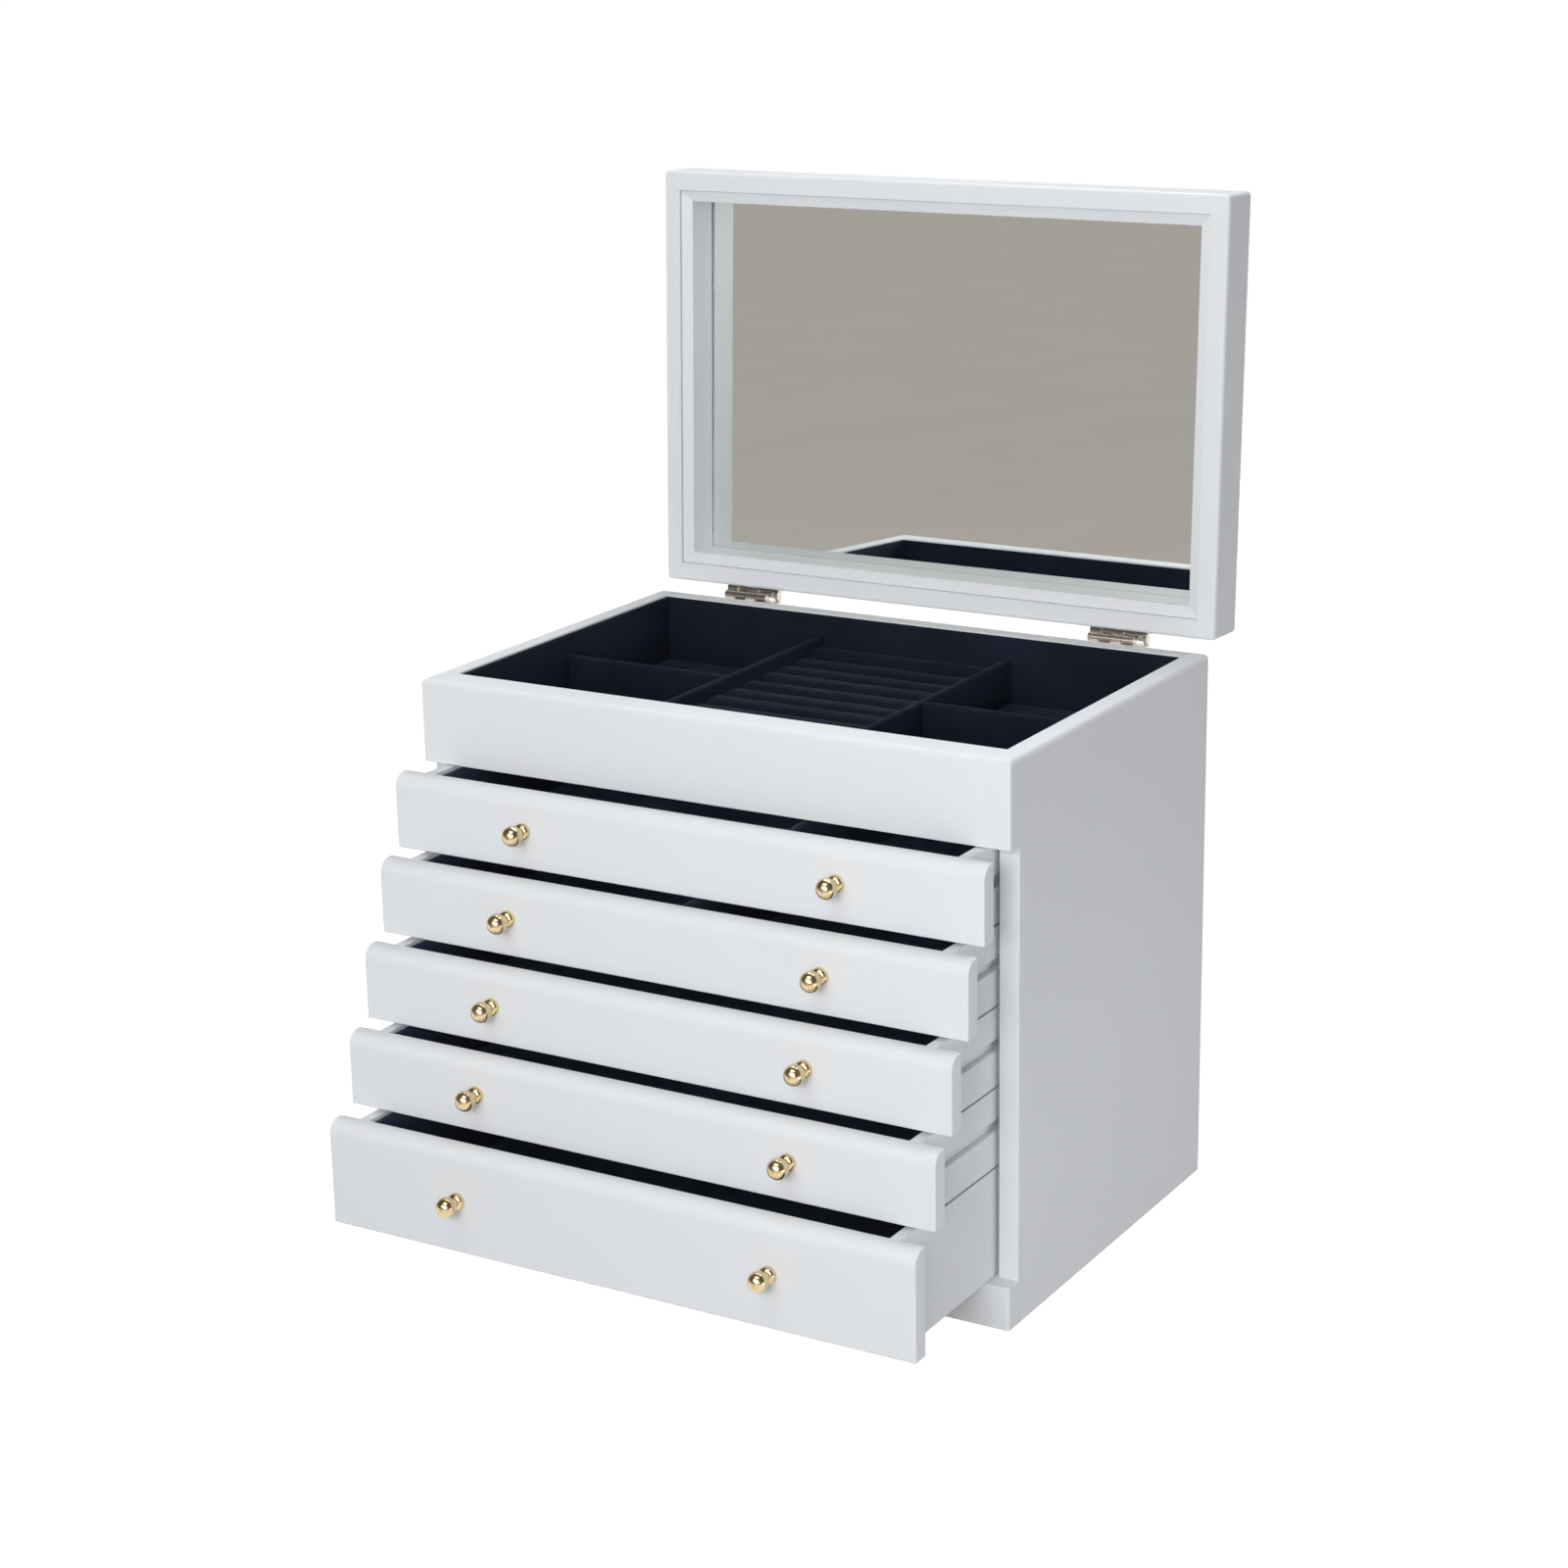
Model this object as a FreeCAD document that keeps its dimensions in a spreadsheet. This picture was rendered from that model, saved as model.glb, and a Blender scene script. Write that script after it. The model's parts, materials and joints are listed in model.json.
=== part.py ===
import FreeCAD, Part
import Sketcher
import os
import re

# A jewellery chest: a lidded top tray over five drawers, painted boards lined with velvet.
# +X is the chest's right, the front faces -Y, +Z is up, and the origin is the middle of the
# base. The lid stands open on its stop and each drawer is pulled out by its own amount.

os.makedirs("parts", exist_ok=True)
doc = FreeCAD.newDocument("JewelleryChest")

DIMENSIONS = {
    # carcass
    "chest_width": 380.0,
    "chest_depth": 258.0,
    "chest_height": 324.0,
    "board": 12.0,
    "overlay": 11.5,
    "edge_round": 3.0,
    "corner_round": 1.5,
    "small_round": 0.7,
    "fascia_bottom": 275.0,
    "backing": 8.5,
    "plinth_height": 25.2,
    "base_thick": 3.0,
    # top tray
    "tray_board_low": 276.0,
    "tray_board_top": 281.0,
    "tray_floor_top": 282.5,
    "lining": 1.2,
    "lining_drop": 0.8,
    "divider": 4.0,
    "divider_top": 310.0,
    "divider_place": 65.0,
    "cross_place": 133.5,
    "roll_top": 302.4,
    "roll_gap": 0.2,
    # drawers
    "front_width": 379.4,
    "front_thick": 11.0,
    "front_round": 8.0,
    "front_high": 43.6,
    "front_low_high": 62.4,
    "box_half": 175.5,
    "box_wall": 6.5,
    "box_end": 240.0,
    "box_high": 45.0,
    "box_low_high": 63.2,
    "bottom_rise": 2.0,
    "bottom_thick": 3.0,
    "drawer_lining_drop": 2.2,
    "groove_drop": 18.0,
    "groove_high": 6.5,
    "groove_deep": 3.3,
    "runner_high": 6.2,
    "runner_gap": 0.1,
    "runner_start": 30.0,
    "insert_thick": 4.0,
    "insert_drop": 4.0,
    # knobs
    "knob_place": 101.3,
    "knob_ball": 5.9,
    "knob_reach": 10.4,
    "knob_flange": 5.1,
    "knob_waist": 3.2,
    # lid
    "lid_thick": 32.0,
    "lid_board": 11.5,
    "lid_round": 2.5,
    "lid_gap": 0.6,
    "moulding": 7.0,
    "moulding_step": 1.6,
    "moulding_gap": 0.25,
    "moulding_slit": 0.5,
    "moulding_fall": 4.0,
    "mirror_depth": 26.3,
    "mirror_thick": 2.0,
    "lid_open": 92.14,
    # hinges
    "hinge_place": 127.0,
    "hinge_shift": 1.4,
    "hinge_back": 5.6,
    "hinge_height": 324.5,
    "barrel": 2.9,
    "leaf": 1.2,
    "leaf_tall": 24.0,
    "hinge_half": 18.8,
    "pin": 1.2,
    "pin_play": 0.06,
    "screw": 1.4,
    "screw_head": 3.0,
    "screw_rise": 0.8,
    "screw_long": 9.0,
    "screw_spread": 10.5,
    "screw_drop": 14.0,
}

TOPS = {1: 274.2, 2: 227.8, 3: 181.4, 4: 135.0, 5: 88.6}
OPENINGS = {1: 29.0, 2: 47.0, 3: 65.5, 4: 84.0, 5: 106.0}
for number in TOPS:
    DIMENSIONS["top_" + "abcde"[number - 1] + "_drawer"] = TOPS[number]
    DIMENSIONS["open_" + "abcde"[number - 1] + "_drawer"] = OPENINGS[number]

sheet = doc.addObject("Spreadsheet::Sheet", "dims")
for row, (alias, amount) in enumerate(DIMENSIONS.items(), 1):
    sheet.set("A%d" % row, alias.replace("_", " "))
    sheet.set("B%d" % row, str(amount))
    sheet.setAlias("B%d" % row, alias)
doc.recompute()

WORD = re.compile(r"[a-z]+[a-z_]*")


def bound(expression):
    """Writes each dimension's alias in full, so that an expression reads the sheet."""
    return WORD.sub(lambda word: "dims." + word.group(0), expression)


def size(alias):
    return DIMENSIONS[alias]


def bind(thing, prop, expression):
    thing.setExpression(prop, bound(expression))


def box(name, x_low, x_high, y_low, y_high, z_low, z_high):
    """A board between six planes, each given as an expression of the sheet."""
    piece = doc.addObject("Part::Box", name)
    bind(piece, "Length", "(%s) - (%s)" % (x_high, x_low))
    bind(piece, "Width", "(%s) - (%s)" % (y_high, y_low))
    bind(piece, "Height", "(%s) - (%s)" % (z_high, z_low))
    bind(piece, "Placement.Base.x", x_low)
    bind(piece, "Placement.Base.y", y_low)
    bind(piece, "Placement.Base.z", z_low)
    return piece


def cut(name, base, tool):
    piece = doc.addObject("Part::Cut", name)
    piece.Base = base
    piece.Tool = tool
    return piece


def fuse(name, pieces):
    piece = doc.addObject("Part::MultiFuse", name)
    piece.Shapes = pieces
    return piece


def group(name, pieces):
    """Separate solids that are one kind of piece, kept together."""
    piece = doc.addObject("Part::Compound", name)
    piece.Links = pieces
    return piece


def edges_on(shape, sides):
    """The edges that lie on all the named sides of the shape's box, such as 'y- z+'."""
    whole = shape.BoundBox
    planes = {
        "x-": ("XMin", "XMax", whole.XMin),
        "x+": ("XMin", "XMax", whole.XMax),
        "y-": ("YMin", "YMax", whole.YMin),
        "y+": ("YMin", "YMax", whole.YMax),
        "z-": ("ZMin", "ZMax", whole.ZMin),
        "z+": ("ZMin", "ZMax", whole.ZMax),
    }
    found = []
    for number, edge in enumerate(shape.Edges, 1):
        ends = edge.BoundBox
        lies = True
        for side in sides.split():
            low, high, level = planes[side]
            lies = lies and abs(getattr(ends, low) - level) < 0.01
            lies = lies and abs(getattr(ends, high) - level) < 0.01
        if lies:
            found.append(number)
    return found


def eased(name, base, rounds):
    """Rounds the edges of a piece: rounds maps a radius's alias to a list of sides."""
    doc.recompute()
    piece = doc.addObject("Part::Fillet", name)
    piece.Base = base
    radii = {}
    for alias, places in rounds:
        for sides in places:
            for number in edges_on(base.Shape, sides):
                radii.setdefault(number, size(alias))
    piece.Edges = [(number, radius, radius) for number, radius in sorted(radii.items())]
    return piece


def cylinder(name, radius, x_low, x_high, y, z):
    """A round bar along X."""
    piece = doc.addObject("Part::Cylinder", name)
    bind(piece, "Radius", radius)
    bind(piece, "Height", "(%s) - (%s)" % (x_high, x_low))
    piece.Placement.Rotation = FreeCAD.Rotation(FreeCAD.Vector(0, 1, 0), 90)
    bind(piece, "Placement.Base.x", x_low)
    bind(piece, "Placement.Base.y", y)
    bind(piece, "Placement.Base.z", z)
    return piece


def peg(name, radius, x, y_low, y_high, z):
    """A round bar along Y."""
    piece = doc.addObject("Part::Cylinder", name)
    bind(piece, "Radius", radius)
    bind(piece, "Height", "(%s) - (%s)" % (y_high, y_low))
    piece.Placement.Rotation = FreeCAD.Rotation(FreeCAD.Vector(1, 0, 0), -90)
    bind(piece, "Placement.Base.x", x)
    bind(piece, "Placement.Base.y", y_low)
    bind(piece, "Placement.Base.z", z)
    return piece


nodes = {}


def keep(label, piece):
    """Names a finished sub-part, which is written to a file of that name."""
    piece.Label = label
    nodes[label] = piece
    return piece


# Planes that many pieces share.
RIGHT = "chest_width / 2"
INNER = "chest_width / 2 - board"
FRONT = "-chest_depth / 2"
BACK = "chest_depth / 2"
BEHIND = "-chest_depth / 2 + overlay"
TRAY_FRONT = "-chest_depth / 2 + overlay + backing"
BACK_INNER = "chest_depth / 2 - board"
TOP = "chest_height"


def minus(expression):
    return "-(%s)" % expression


# ---- carcass ---------------------------------------------------------------------------
# Each side panel stands behind the fascia and the plinth rail, so its front edge shows
# recessed between them, level with the backs of the drawer fronts.
for side, mark in (("left", "x-"), ("right", "x+")):
    low, high = (INNER, RIGHT) if side == "right" else (minus(RIGHT), minus(INNER))
    raw = box("side_board_" + side, low, high, BEHIND, BACK, "0", TOP)
    panel = eased("side_eased_" + side, raw, [
        ("edge_round", [mark + " z+", mark + " y+", "y+ z+"]),
    ])
    keep("side_panel_" + side, panel)

raw = box("fascia_board", minus(RIGHT), RIGHT, FRONT, BEHIND, "fascia_bottom", TOP)
keep("front_fascia", eased("fascia_eased", raw, [
    ("edge_round", ["y- z+", "x- z+", "x+ z+"]),
    ("corner_round", ["x- y-", "x+ y-"]),
]))

keep("fascia_backing", box("backing_rail", minus(INNER), INNER, BEHIND, TRAY_FRONT,
                           "tray_board_low", TOP))

raw = box("plinth_board", minus(RIGHT), RIGHT, FRONT, BEHIND, "0", "plinth_height")
keep("plinth_rail", eased("plinth_eased", raw, [
    ("corner_round", ["x- y-", "x+ y-"]),
    ("small_round", ["y- z+"]),
]))

keep("bottom_board", box("bottom_panel", minus(INNER), INNER, BEHIND, BACK_INNER,
                         "plinth_height - board", "plinth_height"))
keep("base_panel", box("base_sheet", minus(INNER), INNER, BEHIND, BACK_INNER,
                       "0", "base_thick"))
keep("tray_floor", box("tray_board", minus(INNER), INNER, TRAY_FRONT, BACK_INNER,
                       "tray_board_low", "tray_board_top"))

# The hinge screws of the carcass leaves go into the back panel.
HINGE_Y = "chest_depth / 2 + hinge_back"
HINGE_Z = "hinge_height"
pilots = []
for side, sign in (("left", "-"), ("right", "")):
    for place, step in (("near", "-"), ("far", "+")):
        pilots.append(peg("pilot_%s_%s" % (side, place), "screw",
                          "%shinge_place + hinge_shift %s screw_spread" % (sign, step),
                          BACK + " - screw_long", BACK, "hinge_height - screw_drop"))
raw = box("back_board", minus(INNER), INNER, BACK_INNER, BACK, "0", TOP)
back = eased("back_eased", raw, [("edge_round", ["y+ z+"])])
keep("back_panel", cut("back_drilled", back, fuse("back_pilots", pilots)))

# Wooden runner strips for the four upper drawers, one each side of each drawer.
strips = []
for number in (1, 2, 3, 4):
    top = "top_%s_drawer - groove_drop - runner_gap" % "abcde"[number - 1]
    for side, sign in (("left", -1), ("right", 1)):
        near = "box_half - groove_deep + 0.5"
        low, high = (near, INNER) if sign > 0 else (minus(INNER), minus(near))
        strips.append(box("runner_%d_%s" % (number, side), low, high,
                          FRONT + " + runner_start", BACK_INNER,
                          top + " - runner_high", top))
keep("drawer_runners", group("runner_strips", strips))

# ---- top tray --------------------------------------------------------------------------
LINED = INNER + " - lining"
LINED_FRONT = TRAY_FRONT + " + lining"
LINED_BACK = BACK_INNER + " - lining"
skin = box("tray_skin", minus(INNER), INNER, TRAY_FRONT, BACK_INNER,
           "tray_board_top", TOP + " - lining_drop")
room = box("tray_room", minus(LINED), LINED, LINED_FRONT, LINED_BACK,
           "tray_floor_top", TOP + " + 1")
keep("tray_lining", cut("tray_lined", skin, room))

HALF = " - divider / 2"
crossing = []
for side, sign in (("left", "-"), ("right", "")):
    middle = sign + "divider_place"
    raw = box("long_divider_" + side, middle + HALF, middle + " + divider / 2",
              LINED_FRONT, LINED_BACK, "tray_floor_top", "divider_top")
    keep("tray_divider_" + side, eased("long_eased_" + side, raw, [
        ("lining", ["x- z+", "x+ z+", "y+ z+", "y- z+"]),
    ]))
    near, far = "divider_place + divider / 2", LINED
    low, high = (near, far) if side == "right" else (minus(far), minus(near))
    raw = box("short_divider_" + side, low, high,
              FRONT + " + cross_place" + HALF, FRONT + " + cross_place + divider / 2",
              "tray_floor_top", "divider_top")
    crossing.append(eased("short_eased_" + side, raw, [
        ("lining", ["y- z+", "y+ z+"]),
    ]))
keep("tray_cross_dividers", group("short_pair", crossing))

ROLL = "divider_place - divider / 2 - roll_gap"
raw = box("roll_block", minus(ROLL), ROLL, LINED_FRONT + " + roll_gap",
          LINED_BACK + " - roll_gap", "tray_floor_top", "roll_top")
keep("ring_roll_pad", eased("roll_eased", raw, [
    ("edge_round", ["y- z+", "y+ z+"]),
]))


# ---- drawers ---------------------------------------------------------------------------
def drawer_front(name, high, bottom, face):
    """A front board whose top front edge is a large quarter round, padded from its end profile."""
    body = doc.addObject("PartDesign::Body", name)
    plane = [p for p in body.Origin.OriginFeatures if p.Role == "YZ_Plane"][0]
    sketch = body.newObject("Sketcher::SketchObject", name + "_profile")
    sketch.AttachmentSupport = [(plane, "")]
    sketch.MapMode = "FlatFace"
    thick, tall, radius = size("front_thick"), size(high), size("front_round")
    point = FreeCAD.Vector
    sketch.addGeometry(Part.LineSegment(point(0, 0, 0), point(thick, 0, 0)), False)
    sketch.addGeometry(Part.LineSegment(point(thick, 0, 0), point(thick, tall, 0)), False)
    sketch.addGeometry(Part.LineSegment(point(thick, tall, 0), point(radius, tall, 0)), False)
    ring = Part.Circle(point(radius, tall - radius, 0), point(0, 0, 1), radius)
    sketch.addGeometry(Part.ArcOfCircle(ring, 1.5707963, 3.1415927), False)
    sketch.addGeometry(Part.LineSegment(point(0, tall - radius, 0), point(0, 0, 0)), False)
    rule = Sketcher.Constraint
    sketch.addConstraint([
        rule("Coincident", 0, 2, 1, 1),
        rule("Coincident", 1, 2, 2, 1),
        rule("Tangent", 2, 2, 3, 1),
        rule("Tangent", 3, 2, 4, 1),
        rule("Coincident", 4, 2, 0, 1),
        rule("Horizontal", 0),
        rule("Vertical", 1),
        rule("Horizontal", 2),
        rule("Vertical", 4),
        rule("Coincident", 0, 1, -1, 1),
        rule("DistanceX", 0, 1, 0, 2, thick),
        rule("DistanceY", 1, 1, 1, 2, tall),
        rule("Radius", 3, radius),
    ])
    bind(sketch, "Constraints[10]", "front_thick")
    bind(sketch, "Constraints[11]", high)
    bind(sketch, "Constraints[12]", "front_round")
    pad = body.newObject("PartDesign::Pad", name + "_pad")
    pad.Profile = sketch
    pad.Midplane = True
    bind(pad, "Length", "front_width")
    doc.recompute()
    ease = body.newObject("PartDesign::Fillet", name + "_ease")
    edges = edges_on(pad.Shape, "x-") + edges_on(pad.Shape, "x+")
    edges += edges_on(pad.Shape, "y- z-") + edges_on(pad.Shape, "y+ z+")
    ease.Base = (pad, ["Edge%d" % edge for edge in edges])
    bind(ease, "Radius", "small_round")
    bind(body, "Placement.Base.y", face)
    bind(body, "Placement.Base.z", bottom)
    return body


def knob(name, x, face, z):
    """A turned knob: round flange, waist and ball, revolved about its own axis."""
    body = doc.addObject("PartDesign::Body", name)
    plane = [p for p in body.Origin.OriginFeatures if p.Role == "YZ_Plane"][0]
    axis = [p for p in body.Origin.OriginFeatures if p.Role == "Y_Axis"][0]
    sketch = body.newObject("Sketcher::SketchObject", name + "_profile")
    sketch.AttachmentSupport = [(plane, "")]
    sketch.MapMode = "FlatFace"
    ball, reach = size("knob_ball"), size("knob_reach")
    flange, waist = size("knob_flange"), size("knob_waist")
    neck = reach - (ball ** 2 - waist ** 2) ** 0.5
    point = FreeCAD.Vector
    sketch.addGeometry(Part.LineSegment(point(0, 0, 0), point(0, flange, 0)), False)
    sketch.addGeometry(Part.LineSegment(point(0, flange, 0), point(-1.1, flange, 0)), False)
    sketch.addGeometry(Part.Arc(point(-1.1, flange, 0), point(-2.9, 4.4, 0),
                                point(-3.7, waist, 0)), False)
    sketch.addGeometry(Part.LineSegment(point(-3.7, waist, 0), point(-neck, waist, 0)), False)
    sketch.addGeometry(Part.Arc(point(-neck, waist, 0), point(-reach, ball, 0),
                                point(-reach - ball, 0, 0)), False)
    sketch.addGeometry(Part.LineSegment(point(-reach - ball, 0, 0), point(0, 0, 0)), False)
    turned = body.newObject("PartDesign::Revolution", name + "_turned")
    turned.Profile = sketch
    turned.ReferenceAxis = (axis, [""])
    turned.Angle = 360
    body.Placement.Base = FreeCAD.Vector(0, 0, 0)
    bind(body, "Placement.Base.x", x)
    bind(body, "Placement.Base.y", face)
    bind(body, "Placement.Base.z", z)
    return body



INSERTS = {1: "59", 2: "2"}
for number in TOPS:
    letter = "abcde"[number - 1]
    tag = "drawer_%d" % number
    lowest = number == 5
    top = "top_%s_drawer" % letter
    face = FRONT + " - open_%s_drawer" % letter
    high = "front_low_high" if lowest else "front_high"
    box_bottom = top + (" - box_low_high" if lowest else " - box_high")
    keep(tag + "_front", drawer_front(tag + "_board", high, top + " - " + high, face))

    knobs = [knob("%s_knob_%s" % (tag, side), sign + "knob_place", face,
                  top + " - " + high + " / 2")
             for side, sign in (("left", "-"), ("right", ""))]
    keep(tag + "_knobs", group(tag + "_knob_pair", knobs))

    wall_in = "box_half - box_wall"
    behind = face + " + front_thick"
    end = face + " + box_end"
    walls = []
    for side, sign in (("left", -1), ("right", 1)):
        low, high_x = (wall_in, "box_half") if sign > 0 else ("-box_half", minus(wall_in))
        wall = box("%s_wall_%s" % (tag, side), low, high_x, behind, end, box_bottom, top)
        if not lowest:
            depth = "box_half - groove_deep"
            low, high_x = (depth, "box_half + 1") if sign > 0 else ("-box_half - 1", minus(depth))
            groove = box("%s_groove_%s" % (tag, side), low, high_x,
                         behind + " - 1", end + " + 1",
                         top + " - groove_drop - groove_high", top + " - groove_drop")
            wall = cut("%s_grooved_%s" % (tag, side), wall, groove)
        walls.append(wall)
    keep(tag + "_sides", group(tag + "_side_pair", walls))

    keep(tag + "_back", box(tag + "_back_wall", minus(wall_in), wall_in,
                            end + " - box_wall", end, box_bottom, top))
    floor = box_bottom + " + bottom_rise"
    keep(tag + "_bottom", box(tag + "_bottom_sheet", minus(wall_in), wall_in,
                              behind, end + " - box_wall", floor,
                              floor + " + bottom_thick"))
    lined = floor + " + bottom_thick"
    skin = box(tag + "_skin", minus(wall_in), wall_in, behind, end + " - box_wall",
               lined, top + " - drawer_lining_drop")
    room = box(tag + "_room", minus(wall_in + " - lining"), wall_in + " - lining",
               behind + " + lining", end + " - box_wall - lining",
               lined + " + lining", top + " + 1")
    keep(tag + "_lining", cut(tag + "_lined", skin, room))
    if number in INSERTS:
        middle = INSERTS[number]
        raw = box(tag + "_insert", middle + " - insert_thick / 2",
                  middle + " + insert_thick / 2", behind + " + lining",
                  end + " - box_wall - lining", lined + " + lining",
                  top + " - insert_drop")
        keep(tag + "_divider", eased(tag + "_insert_eased", raw, [
            ("lining", ["x- z+", "x+ z+"]),
        ]))

# ---- lid -------------------------------------------------------------------------------
# The lid is drawn shut with the hinge line as its origin, then turned open about it.
UNDER = "chest_height + lid_gap - hinge_height"
LID_TOP = UNDER + " + lid_thick"
REAR = "-hinge_back"
FORE = "-hinge_back - chest_depth"
LID_IN = "chest_width / 2 - lid_board"
FORE_IN = FORE + " + lid_board"
REAR_IN = REAR + " - lid_board"


def on_hinge(label, piece):
    """Turns a finished lid piece open about the hinge line."""
    piece.Placement = FreeCAD.Placement(
        FreeCAD.Vector(0, 0, 0), FreeCAD.Rotation(FreeCAD.Vector(1, 0, 0), -size("lid_open")))
    bind(piece, "Placement.Base.y", HINGE_Y)
    bind(piece, "Placement.Base.z", HINGE_Z)
    return keep(label, piece)


ends = ["x- z-", "x- z+", "x+ z-", "x+ z+"]
raw = box("lid_fore_board", minus(RIGHT), RIGHT, FORE, FORE_IN, UNDER, LID_TOP)
on_hinge("lid_front_rail", eased("lid_fore_eased", raw, [
    ("lid_round", ["y- z-", "y- z+", "x- y-", "x+ y-"] + ends),
]))

pilots = []
for side, sign in (("left", "-"), ("right", "")):
    for place, step in (("near", "-"), ("far", "+")):
        pilots.append(peg("lid_pilot_%s_%s" % (side, place), "screw",
                          "%shinge_place + hinge_shift %s screw_spread" % (sign, step),
                          REAR + " - screw_long", REAR, "screw_drop"))
raw = box("lid_rear_board", minus(RIGHT), RIGHT, REAR_IN, REAR, UNDER, LID_TOP)
rear = eased("lid_rear_eased", raw, [
    ("lid_round", ["y+ z-", "y+ z+", "x- y+", "x+ y+"] + ends),
])
on_hinge("lid_back_rail", cut("lid_rear_drilled", rear, fuse("lid_pilots", pilots)))

rails = []
for side, mark in (("left", "x-"), ("right", "x+")):
    low, high = (LID_IN, RIGHT) if side == "right" else (minus(RIGHT), minus(LID_IN))
    raw = box("lid_side_board_" + side, low, high, FORE_IN, REAR_IN, UNDER, LID_TOP)
    rails.append(eased("lid_side_eased_" + side, raw, [
        ("lid_round", [mark + " z-", mark + " z+"]),
    ]))
on_hinge("lid_side_rails", group("lid_side_pair", rails))

GLASS = UNDER + " + mirror_depth"
SILVER = GLASS + " + mirror_thick"
raw = box("lid_panel_board", minus(LID_IN), LID_IN, FORE_IN, REAR_IN, SILVER, LID_TOP)
on_hinge("lid_top_panel", group("lid_panel", [raw]))
raw = box("mirror_glass", minus(LID_IN), LID_IN, FORE_IN, REAR_IN, GLASS, SILVER)
on_hinge("mirror", group("mirror_sheet", [raw]))

# The moulding round the mirror falls inwards as a bevel, then drops square to the glass.
ring = box("moulding_block", minus(LID_IN), LID_IN, FORE_IN, REAR_IN,
           UNDER + " + moulding_step", GLASS)
hole = box("moulding_hole", minus(LID_IN + " - moulding"), LID_IN + " - moulding",
           FORE_IN + " + moulding", REAR_IN + " - moulding", UNDER, GLASS + " + 1")
bevel = doc.addObject("Part::Wedge", "moulding_bevel")
bind(bevel, "Xmin", minus(LID_IN))
bind(bevel, "Xmax", LID_IN)
bind(bevel, "Zmin", minus(REAR_IN))
bind(bevel, "Zmax", minus(FORE_IN))
bevel.Ymin = 0
bind(bevel, "Ymax", "moulding_fall - moulding_step")
bind(bevel, "X2min", minus(LID_IN + " - moulding"))
bind(bevel, "X2max", LID_IN + " - moulding")
bind(bevel, "Z2min", minus(REAR_IN + " - moulding"))
bind(bevel, "Z2max", minus(FORE_IN + " + moulding"))
bevel.Placement.Rotation = FreeCAD.Rotation(FreeCAD.Vector(1, 0, 0), 90)
bind(bevel, "Placement.Base.z", UNDER + " + moulding_step")
square = cut("moulding_square", ring, hole)
# A fine slit shows where the moulding is let into the frame.
slit_top, slit_low = UNDER + " + moulding_step - 1", UNDER + " + moulding_step + moulding_slit"
rim = box("slit_outside", minus(LID_IN), LID_IN, FORE_IN, REAR_IN, slit_top, slit_low)
core = box("slit_inside", minus(LID_IN + " - moulding_gap"), LID_IN + " - moulding_gap",
           FORE_IN + " + moulding_gap", REAR_IN + " - moulding_gap", slit_top, slit_low)
beaded = cut("moulding_cut", square, bevel)
on_hinge("mirror_moulding", cut("moulding_slitted", beaded, cut("slit", rim, core)))

# ---- hinges ----------------------------------------------------------------------------
# Four knuckles, lid and carcass in turn, then a stop: a tab and a foot on the carcass leaf,
# and an arm on the lid leaf whose end comes down on the foot when the lid is open.
KNUCKLES = {
    "lid": (("-18.8", "-11.9"), ("-4.1", "2.9")),
    "carcass": (("-11.5", "-4.5"), ("3.3", "10.9")),
}


def leaf_with_knuckles(name, owner, middle, bore):
    """A screwed leaf with its rolled knuckles, about a hinge line through the origin."""
    up = owner == "lid"
    low, high = ("barrel - leaf", "leaf_tall") if up else ("-leaf_tall", "leaf - barrel")
    pieces = [box(name + "_leaf", middle + " - hinge_half", middle + " + hinge_half",
                  "-hinge_back", "leaf - hinge_back", low, high)]
    bores = []
    low, high = ("barrel - 2.1", "barrel") if up else ("-barrel", "leaf - barrel")
    for place, (start, stop) in enumerate(KNUCKLES[owner]):
        begin, finish = "%s + (%s)" % (middle, start), "%s + (%s)" % (middle, stop)
        tag = "%s_%d" % (name, place)
        pieces.append(box(tag + "_web", begin, finish, "-hinge_back", "0", low, high))
        pieces.append(cylinder(tag + "_roll", "barrel", begin, finish, "0", "0"))
        bores.append(cylinder(tag + "_bore", bore, begin + " - 0.1", finish + " + 0.1",
                              "0", "0"))
    return pieces, bores


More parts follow.
